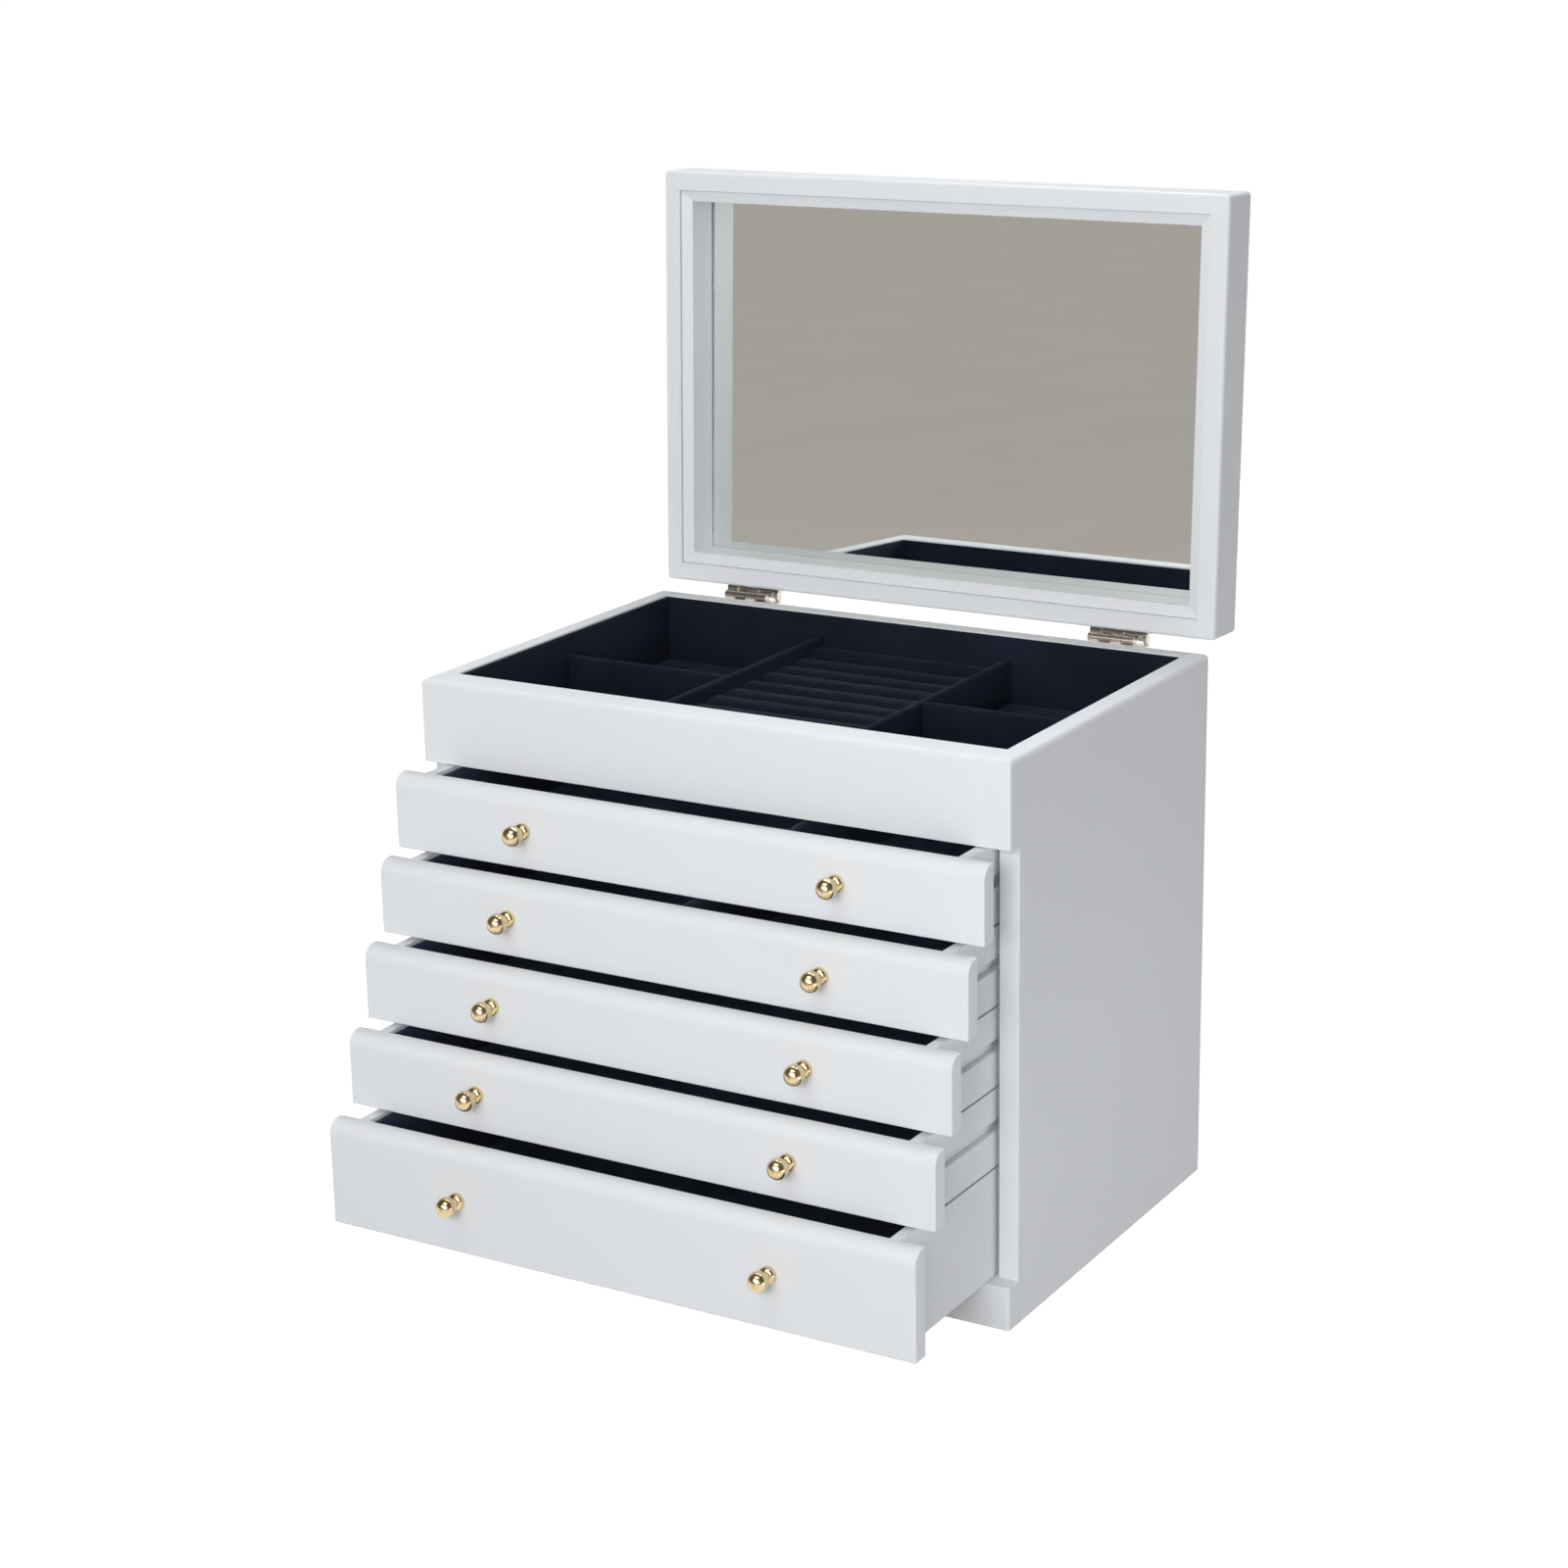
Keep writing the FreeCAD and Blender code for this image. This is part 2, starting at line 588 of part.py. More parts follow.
for side, sign in (("left", "-"), ("right", "")):
    middle = sign + "hinge_place + hinge_shift"
    for owner in ("carcass", "lid"):
        name = "%s_%s" % (owner, side)
        pieces, bores = leaf_with_knuckles(name, owner, middle,
                                           "pin" if owner == "carcass" else "pin + pin_play")
        last = middle + " + hinge_half"
        if owner == "carcass":
            pieces.append(box(name + "_foot", middle + " + 16.6", last,
                              "-hinge_back", "3.6", "-barrel", "leaf - barrel"))
            pieces.append(box(name + "_shelf", middle + " + 11.1", middle + " + 16.6",
                              "-hinge_back", "leaf - barrel", "-barrel", "leaf - barrel"))
            pieces.append(box(name + "_tab", middle + " + 11.1", middle + " + 16.1",
                              "-barrel", "1.5", "-barrel", "-1.4"))
        else:
            pieces.append(box(name + "_wall", middle + " - hinge_half", last,
                              "-hinge_back", "0", "barrel + 0.2", "barrel + 1.4"))
            pieces.append(box(name + "_arm", middle + " + 16.8", last,
                              "-hinge_back", "1.5", "0.3", "3.5"))
            pieces.append(box(name + "_toe", middle + " + 16.8", last,
                              "leaf - hinge_back", "0", "-1.1", "0.3"))
        height = "screw_drop" if owner == "lid" else "-screw_drop"
        for place, step in (("near", "-"), ("far", "+")):
            bores.append(peg("%s_%s_hole" % (name, place), "screw",
                             "%s %s screw_spread" % (middle, step),
                             "-hinge_back - 1", "leaf - hinge_back + 1", height))
        solid = fuse(name + "_solid", pieces)
        piece = cut(name + "_hinge", solid, fuse(name + "_bores", bores))
        if owner == "lid":
            on_hinge("hinge_leaf_lid_" + side, piece)
        else:
            bind(piece, "Placement.Base.y", HINGE_Y)
            bind(piece, "Placement.Base.z", HINGE_Z)
            keep("hinge_leaf_carcass_" + side, piece)

pins = [cylinder("pin_" + side, "pin", sign + "hinge_place + hinge_shift - 19.6",
                 sign + "hinge_place + hinge_shift + 10.9", HINGE_Y, HINGE_Z)
        for side, sign in (("left", "-"), ("right", ""))]
keep("hinge_pins", group("pin_pair", pins))

for owner, height in (("carcass", "-screw_drop"), ("lid", "screw_drop")):
    screws = []
    for side, sign in (("left", "-"), ("right", "")):
        for place, step in (("near", "-"), ("far", "+")):
            tag = "%s_screw_%s_%s" % (owner, side, place)
            across = "%shinge_place + hinge_shift %s screw_spread" % (sign, step)
            shank = peg(tag + "_shank", "screw", across, "-hinge_back - screw_long",
                        "leaf - hinge_back", height)
            head = peg(tag + "_head", "screw_head", across, "leaf - hinge_back",
                       "leaf - hinge_back + screw_rise", height)
            screws.append(fuse(tag, [shank, head]))
    whole = group(owner + "_screws", screws)
    if owner == "lid":
        on_hinge("hinge_screws_lid", whole)
    else:
        bind(whole, "Placement.Base.y", HINGE_Y)
        bind(whole, "Placement.Base.z", HINGE_Z)
        keep("hinge_screws_carcass", whole)

# ---- check and write -------------------------------------------------------------------
doc.recompute()
for thing in doc.Objects:
    if "Invalid" in thing.State or "Error" in thing.State:
        raise RuntimeError("%s did not build: %s" % (thing.Name, thing.State))
for label, piece in nodes.items():
    shape = piece.Shape
    if shape.isNull() or not shape.isValid() or shape.Volume <= 0:
        raise RuntimeError("%s has no sound shape" % label)
for label, piece in sorted(nodes.items()):
    piece.Shape.exportStep("parts/%s.step" % label)
print("%d sub-parts written" % len(nodes))
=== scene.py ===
import json
import math

import bpy
from mathutils import Matrix, Vector, noise


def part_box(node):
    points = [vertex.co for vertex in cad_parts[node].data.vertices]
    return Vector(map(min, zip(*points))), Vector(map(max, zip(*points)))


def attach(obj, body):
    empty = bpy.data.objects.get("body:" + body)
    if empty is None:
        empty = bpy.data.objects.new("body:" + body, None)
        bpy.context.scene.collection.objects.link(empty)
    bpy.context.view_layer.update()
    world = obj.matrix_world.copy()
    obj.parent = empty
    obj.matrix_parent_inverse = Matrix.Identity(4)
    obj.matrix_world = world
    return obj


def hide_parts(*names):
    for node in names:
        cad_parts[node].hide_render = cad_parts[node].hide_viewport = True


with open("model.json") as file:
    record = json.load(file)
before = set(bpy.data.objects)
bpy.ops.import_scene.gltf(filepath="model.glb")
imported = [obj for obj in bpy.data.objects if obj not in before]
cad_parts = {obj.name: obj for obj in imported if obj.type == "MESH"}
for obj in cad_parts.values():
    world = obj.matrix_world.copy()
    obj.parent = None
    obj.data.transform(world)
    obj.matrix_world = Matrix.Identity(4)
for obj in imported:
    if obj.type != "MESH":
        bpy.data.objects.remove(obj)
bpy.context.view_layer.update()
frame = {"nodes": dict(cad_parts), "record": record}
nodes = frame["nodes"]
scene = bpy.context.scene
scene.view_settings.view_transform = "Standard"
MM = 0.001
X, Y, Z = Vector((1, 0, 0)), Vector((0, 1, 0)), Vector((0, 0, 1))


# ---- node trees ------------------------------------------------------------------------
class Tree:
    """A small helper that builds one node tree."""

    def __init__(self, tree):
        self.tree = tree
        tree.nodes.clear()

    def add(self, kind, values=None, **settings):
        node = self.tree.nodes.new(kind)
        for key, value in settings.items():
            setattr(node, key, value)
        for key, value in (values or {}).items():
            if isinstance(value, bpy.types.NodeSocket):
                self.tree.links.new(value, node.inputs[key])
            else:
                node.inputs[key].default_value = value
        return node

    def noise(self, place, scale, detail=3.0, roughness=0.5, stretch=None):
        """A noise of that many lumps to the metre; stretch multiplies its place, axis by axis."""
        if stretch:
            place = self.add("ShaderNodeVectorMath", {0: place, 1: stretch},
                             operation="MULTIPLY").outputs[0]
        return self.add("ShaderNodeTexNoise", {"Vector": place, "Scale": scale,
                        "Detail": detail, "Roughness": roughness}).outputs["Fac"]

    def ramp(self, value, stops):
        """Turns a value into a colour; stops are pairs of place and colour."""
        node = self.add("ShaderNodeValToRGB", {"Fac": value})
        marks = node.color_ramp.elements
        while len(marks) < len(stops):
            marks.new(0.5)
        for mark, (place, colour) in zip(marks, stops):
            mark.position = place
            mark.color = (*colour, 1.0)
        return node.outputs["Color"]

    def blend(self, fac, first, second, how="MIX"):
        """Mixes two colours, each a tuple or another node's output."""
        node = self.add("ShaderNodeMix", data_type="RGBA", blend_type=how)
        for key, value in ((0, fac), (6, first), (7, second)):
            if isinstance(value, bpy.types.NodeSocket):
                self.tree.links.new(value, node.inputs[key])
            elif isinstance(value, (int, float)):
                node.inputs[key].default_value = value
            else:
                node.inputs[key].default_value = (*value, 1.0)
        return node.outputs[2]

    def level(self, value, low, high):
        """Spreads a 0.3 to 0.7 noise over a range."""
        return self.add("ShaderNodeMapRange", {"Value": value, "From Min": 0.3,
                        "From Max": 0.7, "To Min": low, "To Max": high}).outputs[0]

    def bump(self, height, distance, strength=1.0, normal=None):
        """A bump of that height in metres, on top of another normal where one is given."""
        values = {"Height": height, "Distance": distance, "Strength": strength}
        if normal is not None:
            values["Normal"] = normal
        return self.add("ShaderNodeBump", values).outputs["Normal"]


def surface(name, settings):
    """A new material; settings(tree, place) gives the Principled BSDF's inputs."""
    made = bpy.data.materials.new(name)
    made.use_nodes = True
    tree = Tree(made.node_tree)
    place = tree.add("ShaderNodeTexCoord").outputs["Object"]
    shader = tree.add("ShaderNodeBsdfPrincipled", settings(tree, place))
    tree.add("ShaderNodeOutputMaterial", {"Surface": shader.outputs[0]})
    return made


def painted(tone, rough, tool_marks=1.0, edge=0.0006):
    """Satin sprayed paint over smooth board: a faint orange peel, clouding and soft edges.

    edge is the radius, in metres, that the paint's own thickness gives a sharp edge.
    """
    def build(tree, place):
        cloud = tree.noise(place, 9.0, 3.0)
        fleck = tree.noise(place, 260.0, 2.0)
        colour = tree.blend(tree.level(cloud, 0.0, 1.0), [c * 0.985 for c in tone], tone)
        colour = tree.blend(tree.level(fleck, 0.0, 0.35), colour, [c * 0.975 for c in tone])
        peel = tree.noise(place, 420.0, 1.5)
        grit = tree.noise(place, 2600.0, 1.0)
        soft = tree.add("ShaderNodeBevel", {"Radius": edge}, samples=4).outputs[0]
        normal = tree.bump(peel, 0.00004, 0.5 * tool_marks, soft)
        normal = tree.bump(grit, 0.000008, 0.5, normal)
        return {"Base Color": colour, "Roughness": tree.level(cloud, rough - 0.04, rough + 0.05),
                "Specular IOR Level": 0.32, "Normal": normal}
    return build


def velvet(deep, nap, sheen=0.16):
    """Short-pile velvet: almost black face on, bluer where the nap turns, with a fine pile."""
    def build(tree, place):
        brushed = tree.noise(place, 22.0, 4.0, 0.6, (1.0, 0.55, 1.0))
        pile = tree.noise(place, 3800.0, 2.0, 0.7)
        tuft = tree.noise(place, 900.0, 2.0)
        colour = tree.blend(tree.level(brushed, 0.0, 0.8), deep, nap)
        colour = tree.blend(tree.level(pile, 0.0, 0.5), colour, [c * 0.35 for c in deep])
        normal = tree.bump(tuft, 0.00015, 0.7)
        normal = tree.bump(pile, 0.0001, 0.9, normal)
        return {"Base Color": colour, "Roughness": 0.9, "Specular IOR Level": 0.12,
                "Sheen Weight": tree.level(brushed, 0.65 * sheen, 1.35 * sheen),
                "Sheen Roughness": 0.35, "Sheen Tint": (0.32, 0.40, 0.66, 1.0),
                "Normal": normal}
    return build


def metal(tone, rough, stain):
    """Polished plated metal with faint handling marks and a slightly uneven lustre."""
    def build(tree, place):
        cloud = tree.noise(place, 180.0, 3.0)
        fine = tree.noise(place, 1400.0, 2.0, 0.6)
        colour = tree.blend(tree.level(cloud, 0.0, 0.6), tone, stain)
        return {"Base Color": colour, "Metallic": 1.0,
                "Roughness": tree.level(fine, rough, rough + 0.05),
                "Normal": tree.bump(fine, 0.0000015, 0.3)}
    return build


def silvered(tree, place):
    """Back-silvered glass: a clear mirror, very faintly green, with a breath of haze."""
    haze = tree.noise(place, 14.0, 4.0, 0.6)
    colour = tree.blend(tree.level(haze, 0.0, 1.0), (0.915, 0.940, 0.930), (0.925, 0.945, 0.938))
    return {"Base Color": colour, "Metallic": 1.0, "Roughness": tree.level(haze, 0.0, 0.012)}


def wood(pale, dark, along):
    """Bare board or strip: long grain lines, pores and a dry surface."""
    def build(tree, place):
        grain = tree.noise(place, 60.0, 5.0, 0.65, along)
        pores = tree.noise(place, 900.0, 2.0, 0.6, along)
        colour = tree.blend(tree.level(grain, 0.0, 1.0), pale, dark)
        colour = tree.blend(tree.level(pores, 0.0, 0.3), colour, [c * 0.5 for c in dark])
        return {"Base Color": colour, "Roughness": tree.level(pores, 0.6, 0.8),
                "Normal": tree.bump(pores, 0.00008, 0.5)}
    return build


# The inside white is lighter than the outer white: painted light for the shaded insides of the
# drawers and the bottom board.
WHITE, INSIDE_WHITE_PAINTED_LIGHT = (0.730, 0.750, 0.775), (0.775, 0.795, 0.820)
PAINT = surface("satin_white_paint", painted(WHITE, 0.46))
PAINT_FRAME = surface("white_paint_frame", painted(WHITE, 0.46, 1.0, 0.00005))
PAINT_INSIDE_PAINTED_LIGHT = surface("white_paint_inside_painted_light", painted(INSIDE_WHITE_PAINTED_LIGHT, 0.56, 1.6))
VELVET = surface("navy_velvet", velvet((0.0090, 0.0118, 0.0215), (0.0160, 0.0210, 0.0410)))
# The rolls' velvet is a darker copy of the tray velvet with less sheen: painted shade that holds
# down the overhead light the rolls catch.
ROLL_VELVET_PAINTED_SHADE = surface("roll_velvet_painted_shade", velvet((0.0066, 0.0086, 0.0157),
                                            (0.0117, 0.0154, 0.0300), 0.10))
# The drawers' velvet is a much lighter copy of the tray velvet: painted light for the shaded drawer
# insides.
DRAWER_VELVET_PAINTED_LIGHT = surface("drawer_velvet", velvet((0.0560, 0.0640, 0.1080),
                                                (0.0800, 0.0920, 0.1520), 0.60))
BRASS = surface("polished_brass", metal((0.780, 0.632, 0.385), 0.18, (0.620, 0.465, 0.250)))
NICKEL = surface("warm_nickel", metal((0.730, 0.675, 0.595), 0.17, (0.640, 0.575, 0.490)))
SILVER = surface("silvered_glass", silvered)
STRIP = surface("hardwood_strip", wood((0.560, 0.420, 0.260), (0.400, 0.270, 0.150),
                                       (6.0, 0.5, 6.0)))
BOARD = surface("bare_board", wood((0.520, 0.420, 0.300), (0.420, 0.320, 0.210),
                                   (2.0, 2.0, 2.0)))
FINISH = {
    "white_paint": PAINT, "navy_velvet": VELVET, "polished_brass": BRASS, "nickel": NICKEL,
    "mirror_glass": SILVER, "runner_wood": STRIP, "plain_board": BOARD,
}


def dress(node, material):
    """Gives a CAD node a material in each of its slots."""
    mesh = nodes[node].data
    if not mesh.materials:
        mesh.materials.append(material)
    for place in range(len(mesh.materials)):
        mesh.materials[place] = material


for part in frame["record"]["subparts"]:
    dress(part["node"], FINISH[part["material_slot"]])
# Drawer sides, backs and the bottom board take the inside paint: rougher, with stronger tool marks,
# and lighter in tone as painted light.
for node in nodes:
    if node.endswith(("_sides", "_back")) and node.startswith("drawer_"):
        dress(node, PAINT_INSIDE_PAINTED_LIGHT)
dress("bottom_board", PAINT_INSIDE_PAINTED_LIGHT)
for node in ("lid_front_rail", "lid_back_rail", "lid_side_rails"):
    dress(node, PAINT_FRAME)    # the frame's joints are painted over, so no edge shows there
dress("fascia_backing", PAINT)


# ---- mesh helpers ----------------------------------------------------------------------
def add_piece(name, verts, faces, material, body, smooth=True):
    """Makes a mesh object that rides on a body and takes its finish from a material slot."""
    mesh = bpy.data.meshes.new(name)
    mesh.from_pydata(verts, [], faces)
    mesh.validate()
    mesh.update()
    mesh.materials.append(material)
    if smooth:
        mesh.polygons.foreach_set("use_smooth", [True] * len(mesh.polygons))
    piece = bpy.data.objects.new(name, mesh)
    scene.collection.objects.link(piece)
    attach(piece, body)
    return piece


def ticks(length, rounding, cells):
    """Places along an edge, closer together where the form rounds over."""
    low = [rounding * part for part in (0.0, 0.08, 0.25, 0.5, 0.75, 1.0)]
    span = length - 2 * rounding
    middle = [rounding + span * k / cells for k in range(1, cells)]
    return low + middle + [length - n for n in reversed(low)]


def swell(distance, rounding):
    """The height, from 0 to 1, of a rounded edge at a distance from where it starts."""
    inner = 1.0 - min(distance / rounding, 1.0)
    return math.sqrt(max(0.0, 1.0 - inner * inner))


PANEL_CELL, BOARD_CELL = 0.012, 0.010    # the longest cells in a panel's and a divider's mesh


def panel(name, place, across, up, out, wide, tall, thick, rounding, body, puff, seed, material):
    """A covered panel: flat at its back, its face rounded over at every edge and faintly uneven."""
    us = ticks(wide, rounding, max(4, int(wide / PANEL_CELL)))
    vs = ticks(tall, rounding, max(3, int(tall / PANEL_CELL)))
    verts, faces = [], []
    for layer in (0, 1):
        for v in vs:
            for u in us:
                rise = 0.0
                if layer:
                    edge = swell(min(u, wide - u), rounding) * swell(min(v, tall - v), rounding)
                    wobble = noise.noise(Vector((u * 40.0, v * 40.0, seed)))
                    rise = thick * (0.12 + 0.88 * edge) + puff * wobble * edge
                verts.append(place + across * u + up * v + out * rise)
    row, count = len(us), len(us) * len(vs)
    for j in range(len(vs) - 1):
        for i in range(row - 1):
            a = j * row + i
            faces.append((a, a + row, a + row + 1, a + 1))
            faces.append((count + a, count + a + 1, count + a + row + 1, count + a + row))
    rim = list(range(row)) + [j * row + row - 1 for j in range(1, len(vs))]
    rim += [(len(vs) - 1) * row + i for i in range(row - 2, -1, -1)]
    rim += [j * row for j in range(len(vs) - 2, 0, -1)]
    for a, b in zip(rim, rim[1:] + rim[:1]):
        faces.append((a, b, count + b, count + a))
    return add_piece(name, verts, faces, material, body)


SKIN, SKIN_ROUND, SKIN_PUFF = 1.2 * MM, 1.3 * MM, 0.1 * MM    # a lining's wall panels
BASE_GAP, BASE_ROUND, BASE_PUFF = 0.3 * MM, 2.0 * MM, 0.15 * MM    # its floor panel


def lined_box(name, node, body, material, top_drop=0.0, floor_thick=1.2 * MM, seed=0.0):
    """A velvet lining as five covered panels inside the space of its CAD skin."""
    low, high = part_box(node)
    wide, deep, tall = high.x - low.x, high.y - low.y, high.z - top_drop - low.z
    made = [panel(name + "_floor", low + Vector((BASE_GAP, BASE_GAP, 0.0)), X, Y, Z,
                  wide - 2 * BASE_GAP, deep - 2 * BASE_GAP, floor_thick, BASE_ROUND,
                  body, BASE_PUFF, seed, material)]
    walls = (("_front", low, X, Y, wide), ("_rear", Vector((low.x, high.y, low.z)), X, -Y, wide),
             ("_left", low, Y, X, deep), ("_right", Vector((high.x, low.y, low.z)), Y, -X, deep))
    for number, (side, corner, along, inward, length) in enumerate(walls, 1):
        made.append(panel(name + side, corner, along, Z, inward, length, tall, SKIN, SKIN_ROUND,
                          body, SKIN_PUFF, seed + number, material))
    for piece in made:
        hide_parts(node)


# ---- linings ---------------------------------------------------------------------------
lined_box("tray_velvet", "tray_lining", "carcass", VELVET, 0.2 * MM, 1.5 * MM, 3.0)
# The drawer linings take the lighter drawer velvet, which is painted light.
for number in (1, 2, 3, 4, 5):
    lined_box("drawer_%d_velvet" % number, "drawer_%d_lining" % number,
              "drawer_%d" % number, DRAWER_VELVET_PAINTED_LIGHT, seed=10.0 * number)


# ---- dividers --------------------------------------------------------------------------
COVER_WAVE, COVER_PINCH = 0.12 * MM, 0.10 * MM    # how far the cover wavers, and draws in


def wrapped_board(name, node, low, high, body, material, seed):
    """A thin board wrapped in velvet: flat sides, a round top and a slightly uneven cover."""
    lengthwise = X if high.x - low.x > high.y - low.y else Y
    crosswise = Y if lengthwise is X else X
    long, thick = (high - low).dot(lengthwise), (high - low).dot(crosswise)
    tall, radius = high.z - low.z, 0.5 * thick
    outline = [(0.0, tall * k / 5) for k in range(5)]
    for k in range(13):                           # the round top, in steps of 15 degrees
        turn = math.pi * k / 12
        outline.append((radius - radius * math.cos(turn), tall - radius + radius * math.sin(turn)))
    outline += [(thick, tall * k / 5) for k in range(4, -1, -1)]
    stations = ticks(long, 1.0 * MM, max(6, int(long / BOARD_CELL)))
    verts, faces = [], []
    for along in stations:
        for over, rise in outline:
            wave = noise.noise(Vector((along * 45.0, rise * 60.0 + over * 300.0, seed)))
            pinch = COVER_WAVE * wave - COVER_PINCH
            over += pinch if over > radius else -pinch
            verts.append(low + lengthwise * along + crosswise * over
                         + Z * (rise + COVER_WAVE * wave * (rise / tall)))
    row = len(outline)
    for j in range(len(stations) - 1):
        for k in range(row):
            a, b = j * row + k, j * row + (k + 1) % row
            faces.append((a, a + row, b + row, b))
    faces.append(tuple(range(row)))
    last = (len(stations) - 1) * row
    faces.append(tuple(last + k for k in range(row - 1, -1, -1)))
    if lengthwise is Y:
        faces = [tuple(reversed(face)) for face in faces]
    piece = add_piece(name, verts, faces, material, body)
    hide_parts(node)


for side in ("left", "right"):
    node = "tray_divider_" + side
    wrapped_board(node + "_velvet", node, *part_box(node), "carcass", VELVET, 41.0)
low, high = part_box("tray_cross_dividers")
wrapped_board("tray_cross_left_velvet", "tray_cross_dividers", low,
              Vector((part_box("tray_divider_left")[0].x, high.y, high.z)), "carcass", VELVET, 43.0)
wrapped_board("tray_cross_right_velvet", "tray_cross_dividers",
              Vector((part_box("tray_divider_right")[1].x, low.y, low.z)), high,
              "carcass", VELVET, 44.0)
# The drawer dividers take the lighter drawer velvet, which is painted light.
for number in (1, 2):
    node = "drawer_%d_divider" % number
    wrapped_board(node + "_velvet", node, *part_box(node), "drawer_%d" % number,
                  DRAWER_VELVET_PAINTED_LIGHT, 45.0 + number)

# ---- ring rolls ------------------------------------------------------------------------
ROLLS = 11
TUCK = 3.0 * MM          # how far in from its ends a roll starts to narrow
LAST_ROLL_UP = 2.6 * MM  # the rearmost roll stands above the others


def ring_roll(name, x0, x1, y, half, base, top, seed):
    """One padded roll: flat sides pressed on its neighbours, a round top, tucked ends."""
    around, along = 36, 30
    middle = base + (top - base) * 0.52
    verts, faces = [], []
    stations = ticks(x1 - x0, TUCK, along)
    for s in stations:
        full = 0.72 + 0.28 * swell(min(s, x1 - x0 - s), TUCK)
        for k in range(around):
            a = 2 * math.pi * k / around
            c, h = math.cos(a), math.sin(a)
            power = 0.62 if h > 0 else 0.30
            yy = math.copysign(abs(c) ** power, c) * half
            reach = (top - middle) if h > 0 else (middle - base)
            zz = middle + math.copysign(abs(h) ** (0.95 if h > 0 else 0.30), h) * reach * full
            lump = noise.noise(Vector((s * 55.0, a * 1.3, seed)))
            zz += (0.35 * MM * lump) if h > 0.2 else 0.0
            yy *= 1.0 - 0.015 * (1.0 + noise.noise(Vector((s * 70.0, seed, 4.0))))
            verts.append(Vector((x0 + s, y + yy * (0.9 + 0.1 * full), zz)))
    for j in range(len(stations) - 1):
        for k in range(around):
            a, b = j * around + k, j * around + (k + 1) % around
            faces.append((a, b, b + around, a + around))
    faces.append(tuple(range(around - 1, -1, -1)))
    last = (len(stations) - 1) * around
    faces.append(tuple(last + k for k in range(around)))
    # The roll takes the darker roll velvet, which is painted shade.
    piece = add_piece(name, verts, faces, ROLL_VELVET_PAINTED_SHADE, "carcass")
    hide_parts("ring_roll_pad")


low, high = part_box("ring_roll_pad")
pitch = (high.y - low.y) / ROLLS
for number in range(ROLLS):
    rise = LAST_ROLL_UP if number == ROLLS - 1 else 0.3 * MM * math.sin(number * 2.1)
    ring_roll("ring_roll_%02d" % (number + 1), low.x, high.x, low.y + pitch * (number + 0.5),
              pitch * 0.495, low.z, high.z + rise, 5.0 + number)

# ---- screws in the back of the carcass -------------------------------------------------
HEAD_RISE, SHANK, SCREW_GAP = 0.8 * MM, 6.0 * MM, 2.0 * MM


def cross_screw(name, centre, radius, turn):
    """A low round head with a cross recess, on a short shank that stays in the board."""
    rings, spokes = 22, 88
    slot, reach = 0.13 * radius, 0.58 * radius    # half the width and length of a recess's arm
    verts = [centre + Y * HEAD_RISE * 0.35]
    for ring in range(1, rings + 1):
        r = radius * ring / rings
        for spoke in range(spokes):
            a = 2 * math.pi * spoke / spokes
            u, v = r * math.cos(a + turn), r * math.sin(a + turn)
            arm = max(min(1.0 - abs(u) / slot, 1.0 - abs(v) / reach),
                      min(1.0 - abs(v) / slot, 1.0 - abs(u) / reach))
            cut = min(1.0, max(0.0, arm * 2.5))
            dome = math.sqrt(max(0.0, 1.0 - 0.92 * (r / radius) ** 2))
            verts.append(centre + X * r * math.cos(a) + Z * r * math.sin(a)
                         + Y * HEAD_RISE * (0.15 + 0.85 * dome - 0.65 * cut))
    for r, depth in ((radius, 0.0), (0.5 * radius, 0.0), (0.5 * radius, -SHANK)):
        for spoke in range(spokes):
            a = 2 * math.pi * spoke / spokes
            verts.append(centre + X * r * math.cos(a) + Z * r * math.sin(a) + Y * depth)
    faces = [(0, 1 + (k + 1) % spokes, 1 + k) for k in range(spokes)]
    for ring in range(rings + 2):
        for k in range(spokes):
            a, b = 1 + ring * spokes + k, 1 + ring * spokes + (k + 1) % spokes
            faces.append((a, b, b + spokes, a + spokes))
    last = 1 + (rings + 2) * spokes
    faces.append(tuple(last + k for k in range(spokes)))
    piece = add_piece(name, verts, faces, NICKEL, "carcass")
    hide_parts("hinge_screws_carcass")


# The CAD screws give each head's place and size: they are told apart by their gaps along X.
points = sorted((v.co.copy() for v in nodes["hinge_screws_carcass"].data.vertices),
                key=lambda co: co.x)
heads = [[points[0]]]
for point in points[1:]:
    if point.x - heads[-1][-1].x > SCREW_GAP:
        heads.append([])
    heads[-1].append(point)
for number, head in enumerate(heads, 1):
    centre = Vector((0.5 * (head[-1].x + head[0].x), max(co.y for co in head) - HEAD_RISE,
                     0.5 * (max(co.z for co in head) + min(co.z for co in head))))
    cross_screw("hinge_screw_%d" % number, centre, 0.5 * (head[-1].x - head[0].x), 0.7 * number)

# ---- mirror ----------------------------------------------------------------------------
# The silver lies behind the glass, so the reflecting face is set back from the glass's front,
# and the sheet sits a hair further back at its top.
SET_BACK, LEAN, SAME_FACE = 1.0 * MM, 0.9 * MM, 0.2 * MM
source = nodes["mirror"].data
front = min(source.polygons, key=lambda f: f.normal.y * f.area)
facing = front.normal.copy()
front_level = front.center.dot(facing)
rising = X.cross(facing)
rising *= math.copysign(1.0, rising.z)
reach = max(abs((v.co - front.center).dot(rising)) for v in source.vertices)
verts = []
for vertex in source.vertices:
    spot = vertex.co.copy()
    if abs(spot.dot(facing) - front_level) < SAME_FACE:
        height = (spot - front.center).dot(rising) / reach
        spot -= facing * (SET_BACK + LEAN * height)
    verts.append(spot)
glass = add_piece("mirror_silvered", verts, [tuple(f.vertices) for f in source.polygons],
                  SILVER, "lid", smooth=False)
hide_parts("mirror")

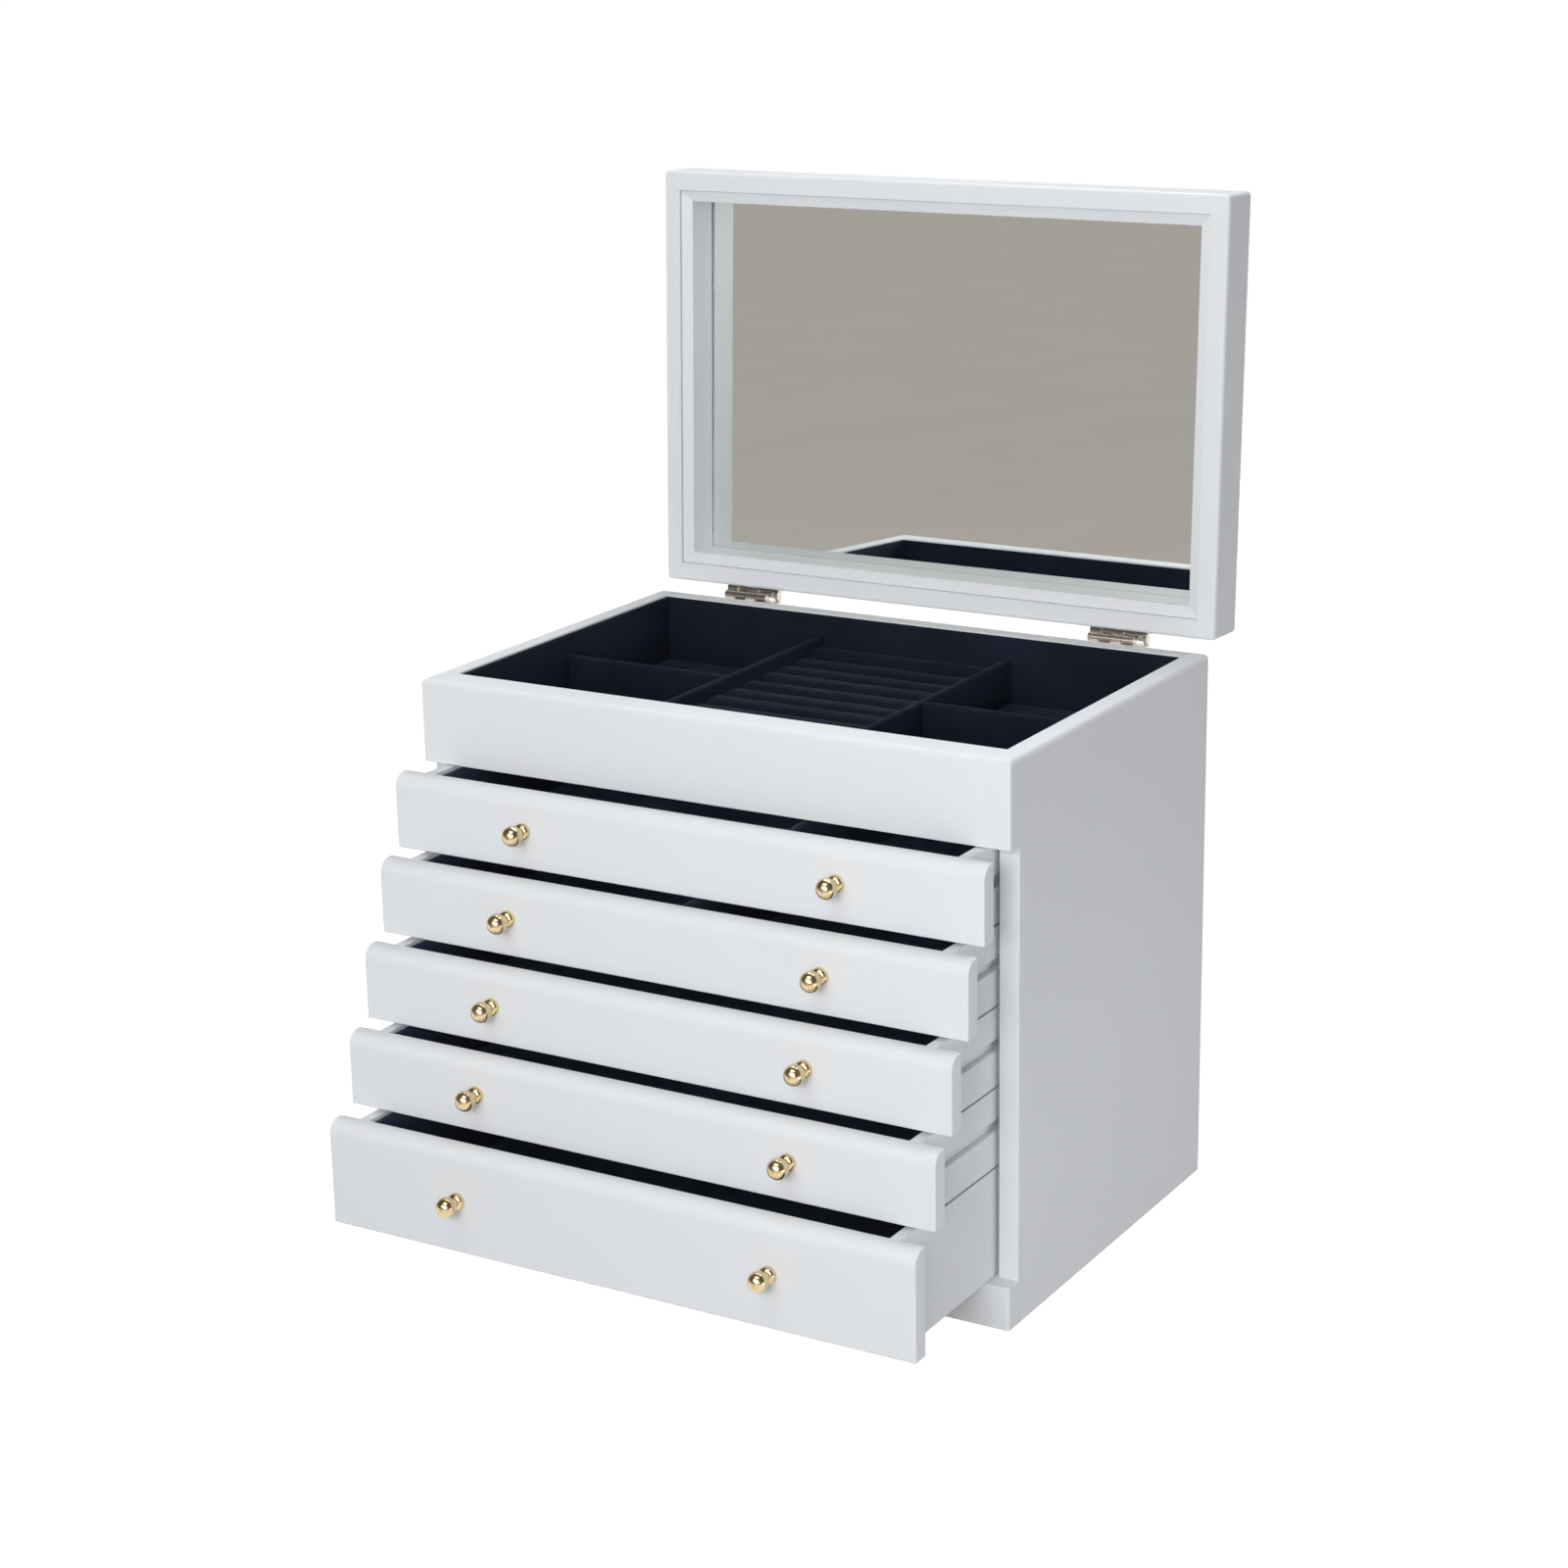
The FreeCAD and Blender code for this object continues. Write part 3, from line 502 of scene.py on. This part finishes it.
# ---- stage -----------------------------------------------------------------------------
def stage_surface(name, glow, matt, depth):
    """A studio surface that glows evenly, with a trace of cloudiness."""
    made = bpy.data.materials.new(name)
    made.use_nodes = True
    tree = Tree(made.node_tree)
    place = tree.add("ShaderNodeTexCoord").outputs["Object"]
    cloud = tree.level(tree.noise(place, 5.0, 4.0, 0.6, (1.0, 0.28, 1.0)), 0.0, depth)
    tone = tree.blend(cloud, glow, (0.5, 0.5, 0.5), "MULTIPLY")
    lit = tree.add("ShaderNodeBsdfDiffuse", {"Color": (matt, matt, matt, 1.0)})
    own = tree.add("ShaderNodeEmission", {"Color": tone, "Strength": 1.0})
    both = tree.add("ShaderNodeAddShader", {0: lit.outputs[0], 1: own.outputs[0]})
    tree.add("ShaderNodeOutputMaterial", {"Surface": both.outputs[0]})
    return made


def stage_piece(name, verts, faces, material, unseen):
    """A floor, card or backdrop; unseen lists the kinds of ray that pass through it."""
    mesh = bpy.data.meshes.new(name)
    mesh.from_pydata(verts, [], faces)
    mesh.materials.append(material)
    piece = bpy.data.objects.new(name, mesh)
    scene.collection.objects.link(piece)
    for kind in unseen:
        setattr(piece, "visible_" + kind, False)


def flat(side, front, back, height):
    """The corners of a level rectangle, to stage_piece's one face."""
    return [(-side, front, height), (side, front, height), (side, back, height),
            (-side, back, height)]


# The floor and the backdrop are plain white. The world's lower half, which shines through the
# floor, is the light that a white floor would throw back.
REACH = 22.0
CARD_SIDE, CARD_FRONT, CARD_BACK, CARD_UP = 21.0, -21.0, -0.80, 0.004
stage_piece("floor", flat(REACH, -REACH, REACH, 0.0), [(0, 1, 2, 3)],
            stage_surface("studio_floor", (0.99, 0.99, 0.99), 0.10, 0.0),
            ["diffuse", "shadow"])
# A grey card in front of the chest, which the camera never sees, gives the mirror its tone.
stage_piece("mirror_card", flat(CARD_SIDE, CARD_FRONT, CARD_BACK, CARD_UP), [(0, 1, 2, 3)],
            stage_surface("grey_card", (0.395, 0.369, 0.330), 0.08, 0.08),
            ["camera", "diffuse", "shadow"])
WALLS, BANDS = 24, 6     # the backdrop is a dome
verts, faces = [], []
for band in range(BANDS):
    climb = 0.5 * math.pi * band / BANDS
    for wall in range(WALLS):
        turn = 2 * math.pi * wall / WALLS
        verts.append((REACH * math.cos(climb) * math.cos(turn),
                      REACH * math.cos(climb) * math.sin(turn), REACH * math.sin(climb)))
for band in range(BANDS - 1):
    for wall in range(WALLS):
        a, b = band * WALLS + wall, band * WALLS + (wall + 1) % WALLS
        faces.append((a, b, b + WALLS, a + WALLS))
faces.append(tuple((BANDS - 1) * WALLS + wall for wall in range(WALLS)))
stage_piece("backdrop", verts, faces,
            stage_surface("studio_backdrop", (0.99, 0.99, 0.99), 0.0, 0.0),
            ["diffuse", "glossy", "transmission", "shadow"])


# ---- lights ----------------------------------------------------------------------------
def area_light(name, place, target, wide, tall, power, colour=(1.0, 1.0, 1.0)):
    """A rectangular lamp aimed at a target; sizes in metres, power in watts."""
    lamp = bpy.data.lights.new(name, "AREA")
    lamp.shape = "RECTANGLE"
    lamp.size, lamp.size_y = wide, tall
    lamp.energy = power
    lamp.color = colour
    thing = bpy.data.objects.new(name, lamp)
    scene.collection.objects.link(thing)
    thing.location = place
    thing.visible_camera = False
    thing.rotation_euler = (Vector(target) - Vector(place)).to_track_quat("-Z", "Y").to_euler()
    return thing


middle = (0.0, 0.0, 0.28)
area_light("key", (-0.15, -2.0, 1.2), middle, 1.4, 1.0, 8.4, (1.0, 0.995, 0.985))
area_light("high", (0.10, -1.0, 1.9), (0.0, 0.0, 0.4), 1.2, 0.8, 7.7)
area_light("overhead", (0.0, 0.9, 1.9), middle, 1.6, 1.0, 28.0, (0.97, 0.985, 1.0))
area_light("left", (-2.0, 0.25, 0.40), middle, 1.2, 0.8, 20.0).visible_glossy = False
area_light("rear", (-0.15, 2.2, 0.45), middle, 1.6, 0.8, 13.0).visible_glossy = False
area_light("front", (0.65, -1.9, 0.8), middle, 1.0, 0.8, 23.0)
area_light("low", (0.62, -0.08, 0.03), (0.19, 0.0, 0.08), 0.6, 0.10, 0.55)

# The world is dim above, for soft metal and velvet, with a paler band at the horizon.
world = bpy.data.worlds.new("studio")
scene.world = world
world.use_nodes = True
tree = Tree(world.node_tree)
spot = tree.add("ShaderNodeTexCoord").outputs["Generated"]
height = tree.add("ShaderNodeSeparateXYZ", {0: spot}).outputs["Z"]
height = tree.add("ShaderNodeMapRange", {"Value": height, "From Min": -1.0}).outputs[0]
tone = tree.ramp(height, [(0.0, (0.320, 0.330, 0.345)), (0.48, (0.350, 0.357, 0.368)),
                          (0.50, (0.40, 0.40, 0.40)), (0.53, (0.200, 0.192, 0.180)),
                          (0.62, (0.120, 0.114, 0.104)), (1.0, (0.105, 0.099, 0.092))])
sky = tree.add("ShaderNodeBackground", {"Color": tone, "Strength": 1.0})
tree.add("ShaderNodeOutputWorld", {"Surface": sky.outputs[0]})

# ---- camera ----------------------------------------------------------------------------
AZIMUTH, ELEVATION, ROLL = 30.875, 16.274, -0.998    # degrees
SENSOR, LENS = 36.0, 74.67                           # mm
DISTANCE, TARGET = 1.833, Vector((0.01858, -0.07168, 0.27393))
turn, tilt, roll = math.radians(AZIMUTH), math.radians(ELEVATION), math.radians(ROLL)
ahead = Vector((-math.sin(turn) * math.cos(tilt), math.cos(turn) * math.cos(tilt),
                -math.sin(tilt)))
side = Vector((math.cos(turn), math.sin(turn), 0.0))
above = side.cross(ahead)
right = side * math.cos(roll) + above * math.sin(roll)
up = above * math.cos(roll) - side * math.sin(roll)
lens = bpy.data.cameras.new("camera")
lens.sensor_width, lens.lens = SENSOR, LENS
lens.clip_end = 200.0
camera = bpy.data.objects.new("camera", lens)
scene.collection.objects.link(camera)
camera.matrix_world = Matrix.Translation(TARGET - ahead * DISTANCE) @ Matrix(
    (right, up, -ahead)).transposed().to_4x4()
scene.camera = camera
